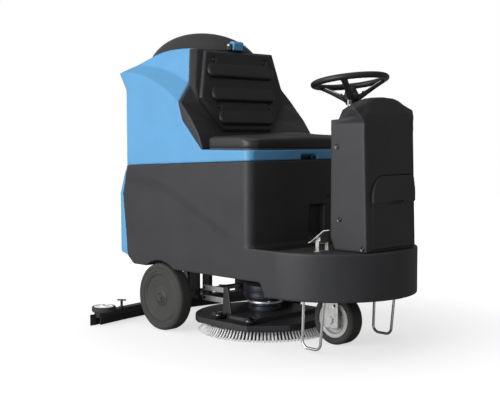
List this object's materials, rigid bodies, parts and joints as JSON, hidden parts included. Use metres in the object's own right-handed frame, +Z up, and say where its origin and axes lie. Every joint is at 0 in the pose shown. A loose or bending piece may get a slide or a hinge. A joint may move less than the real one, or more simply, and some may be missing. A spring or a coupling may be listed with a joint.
{
  "type": "ride-on scrubber",
  "caption": "Ride-on floor scrubber with a tilting seat tank, dome lid, steering column, steered drive wheel, round brush deck and rear squeegee.",
  "frame": {"origin": "on the floor, under the middle of the machine's box", "axes": "+X forwards, +Y the driver's left, +Z up"},
  "size_m": [1.46, 1.052, 1.365],
  "materials": {
    "blue_plastic": "satin rotomoulded",
    "black_plastic": "satin rotomoulded",
    "dark_steel": "satin black",
    "zinc_steel": "zinc plated",
    "stainless": "bright rod",
    "grey_rubber": "matt",
    "grey_plastic": "matt",
    "aluminium_rim": "cast",
    "seat_vinyl": "vinyl upholstery",
    "mat_rubber": "speckled",
    "bristle_nylon": "nylon bristles",
    "brush_block": "matt",
    "blade_rubber": "matt",
    "knob_plastic": "gloss",
    "battery_case": "matt",
    "motor_metal": "satin",
    "horn_red": "gloss"
  },
  "bodies": {
    "chassis": {"chassis_frame": "dark_steel", "solution_tank": "black_plastic", "rear_cover": "blue_plastic", "battery_front": "battery_case", "battery_rear": "battery_case", "vacuum_motor": "motor_metal", "footplate": "black_plastic", "rubber_mat": "mat_rubber", "column_shell": "black_plastic", "control_panel": "black_plastic", "steering_box": "motor_metal", "rear_axle": "zinc_steel", "pedal_bracket": "zinc_steel", "tank_hinge": "zinc_steel", "guard_loop_r": "stainless", "guard_loop_l": "stainless"},
    "rear_wheel_r": {"rear_tyre_r": "grey_rubber", "rear_rim_r": "grey_plastic"},
    "rear_wheel_l": {"rear_tyre_l": "grey_rubber", "rear_rim_l": "grey_plastic"},
    "fork": {"drive_fork": "zinc_steel", "drive_axle": "zinc_steel", "drive_motor": "motor_metal"},
    "front_wheel": {"front_tyre": "grey_rubber", "front_rim": "aluminium_rim"},
    "steering_wheel": {"steering_rim": "black_plastic", "steering_hub": "black_plastic", "steering_shaft": "zinc_steel"},
    "column_shaft": {"column_shaft": "zinc_steel"},
    "pedal": {"pedal_plate": "zinc_steel"},
    "key": {"key_switch": "zinc_steel"},
    "horn": {"horn_button": "horn_red"},
    "hatch": {"front_hatch": "black_plastic"},
    "recovery": {"recovery_tank": "blue_plastic", "backrest_shell": "black_plastic", "backrest_pad": "seat_vinyl", "seat_cushion": "seat_vinyl"},
    "lid": {"lid": "black_plastic"},
    "latch": {"lid_latch": "blue_plastic"},
    "upper_link_r": {"upper_link_r": "zinc_steel"},
    "upper_link_l": {"upper_link_l": "zinc_steel"},
    "lower_links": {"lower_link_r": "zinc_steel", "lower_link_l": "zinc_steel"},
    "deck": {"deck_plate": "dark_steel", "brush_motor": "motor_metal", "deck_knob_rear_r": "knob_plastic", "deck_knob_front_r": "knob_plastic", "deck_knob_rear_l": "knob_plastic", "deck_knob_front_l": "knob_plastic"},
    "brush": {"brush_disc": "brush_block", "bristle_ring": "bristle_nylon"},
    "squeegee_arm": {"squeegee_arm": "dark_steel"},
    "squeegee": {"squeegee_body": "dark_steel", "blade_front": "blade_rubber", "blade_rear": "blade_rubber"},
    "squeegee_knob_r": {"squeegee_knob_r": "knob_plastic"},
    "squeegee_knob_l": {"squeegee_knob_l": "knob_plastic"},
    "roller_r": {"roller_r": "grey_rubber"},
    "roller_l": {"roller_l": "grey_rubber"}
  },
  "joints": [
    {"name": "rear_wheel_spin_r", "type": "hinge", "parent": "chassis", "child": "rear_wheel_r", "pos_m": [-0.343, -0.325, 0.1525], "axis": [0, 1, 0], "continuous": true},
    {"name": "rear_wheel_spin_l", "type": "hinge", "parent": "chassis", "child": "rear_wheel_l", "pos_m": [-0.343, 0.325, 0.1525], "axis": [0, 1, 0], "continuous": true},
    {"name": "steering_turn", "type": "hinge", "parent": "chassis", "child": "steering_wheel", "pos_m": [0.46499, 0, 1.1025], "axis": [-0.1392, 0, 0.9903], "range_deg": [-180, 180]},
    {"name": "column_shaft_turn", "type": "hinge", "parent": "chassis", "child": "column_shaft", "pos_m": [0.56199, 0, 0.7], "axis": [0, 0, 1], "range_deg": [-180, 180]},
    {"name": "fork_steer", "type": "hinge", "parent": "chassis", "child": "fork", "pos_m": [0.409, 0, 0.107], "axis": [0, 0, 1], "range_deg": [-60, 60]},
    {"name": "front_wheel_spin", "type": "hinge", "parent": "fork", "child": "front_wheel", "pos_m": [0.409, 0, 0.107], "axis": [0, 1, 0], "continuous": true},
    {"name": "pedal_press", "type": "hinge", "parent": "chassis", "child": "pedal", "pos_m": [0.40599, -0.1, 0.443], "axis": [0, 1, 0], "range_deg": [0, 12], "stiffness_Nm_per_rad": 4, "springref_deg": -14.32},
    {"name": "key_turn", "type": "hinge", "parent": "chassis", "child": "key", "pos_m": [0.50799, -0.045, 0.9978], "axis": [-0.4179, 0, 0.9085], "range_deg": [0, 90]},
    {"name": "horn_press", "type": "slide", "parent": "chassis", "child": "horn", "axis": [0.4179, 0, -0.9085], "range_m": [0, 0.004], "stiffness_N_per_m": 250, "springref_m": -0.002},
    {"name": "hatch_open", "type": "hinge", "parent": "chassis", "child": "hatch", "pos_m": [0.68499, 0, 0.431], "axis": [0, 1, 0], "range_deg": [0, 70]},
    {"name": "tank_tilt", "type": "hinge", "parent": "chassis", "child": "recovery", "pos_m": [-0.584, 0, 0.743], "axis": [0, -1, 0], "range_deg": [0, 60]},
    {"name": "lid_open", "type": "hinge", "parent": "recovery", "child": "lid", "pos_m": [-0.627, 0, 1.172], "axis": [0, -1, 0], "range_deg": [0, 75]},
    {"name": "latch_turn", "type": "hinge", "parent": "lid", "child": "latch", "pos_m": [-0.215, 0, 1.292], "axis": [0, 1, 0], "range_deg": [0, 50]},
    {"name": "deck_lift", "type": "hinge", "parent": "chassis", "child": "lower_links", "pos_m": [-0.223, 0, 0.145], "axis": [0, -1, 0], "range_deg": [0, 15]},
    {"name": "upper_link_turn_r", "type": "hinge", "parent": "chassis", "child": "upper_link_r", "pos_m": [-0.223, -0.19, 0.192], "axis": [0, -1, 0], "range_deg": [0, 15]},
    {"name": "upper_link_turn_l", "type": "hinge", "parent": "chassis", "child": "upper_link_l", "pos_m": [-0.223, 0.19, 0.192], "axis": [0, -1, 0], "range_deg": [0, 15]},
    {"name": "deck_level", "type": "hinge", "parent": "lower_links", "child": "deck", "pos_m": [-0.073, 0, 0.145], "axis": [0, -1, 0], "range_deg": [-15, 0]},
    {"name": "brush_spin", "type": "hinge", "parent": "deck", "child": "brush", "pos_m": [-0.028, 0, 0.05], "axis": [0, 0, 1], "continuous": true},
    {"name": "squeegee_lift", "type": "hinge", "parent": "chassis", "child": "squeegee_arm", "pos_m": [-0.53, 0, 0.2], "axis": [0, 1, 0], "range_deg": [0, 18]},
    {"name": "squeegee_swing", "type": "hinge", "parent": "squeegee_arm", "child": "squeegee", "pos_m": [-0.642, 0, 0.062], "axis": [0, 0, 1], "range_deg": [-10, 10]},
    {"name": "roller_spin_r", "type": "hinge", "parent": "squeegee", "child": "roller_r", "pos_m": [-0.62503, -0.462, 0.08], "axis": [0, 0, 1], "continuous": true},
    {"name": "squeegee_knob_turn_r", "type": "hinge", "parent": "squeegee", "child": "squeegee_knob_r", "pos_m": [-0.66491, -0.33, 0.08], "axis": [0, 0, 1], "continuous": true},
    {"name": "roller_spin_l", "type": "hinge", "parent": "squeegee", "child": "roller_l", "pos_m": [-0.62503, 0.462, 0.08], "axis": [0, 0, 1], "continuous": true},
    {"name": "squeegee_knob_turn_l", "type": "hinge", "parent": "squeegee", "child": "squeegee_knob_l", "pos_m": [-0.66491, 0.33, 0.08], "axis": [0, 0, 1], "continuous": true}
  ],
  "couplings": [
    {"joint": "column_shaft_turn", "follows": "steering_turn", "ratio": 1},
    {"joint": "fork_steer", "follows": "steering_turn", "ratio": 0.33333},
    {"joint": "upper_link_turn_r", "follows": "deck_lift", "ratio": 1},
    {"joint": "upper_link_turn_l", "follows": "deck_lift", "ratio": 1},
    {"joint": "deck_level", "follows": "deck_lift", "ratio": -1}
  ]
}
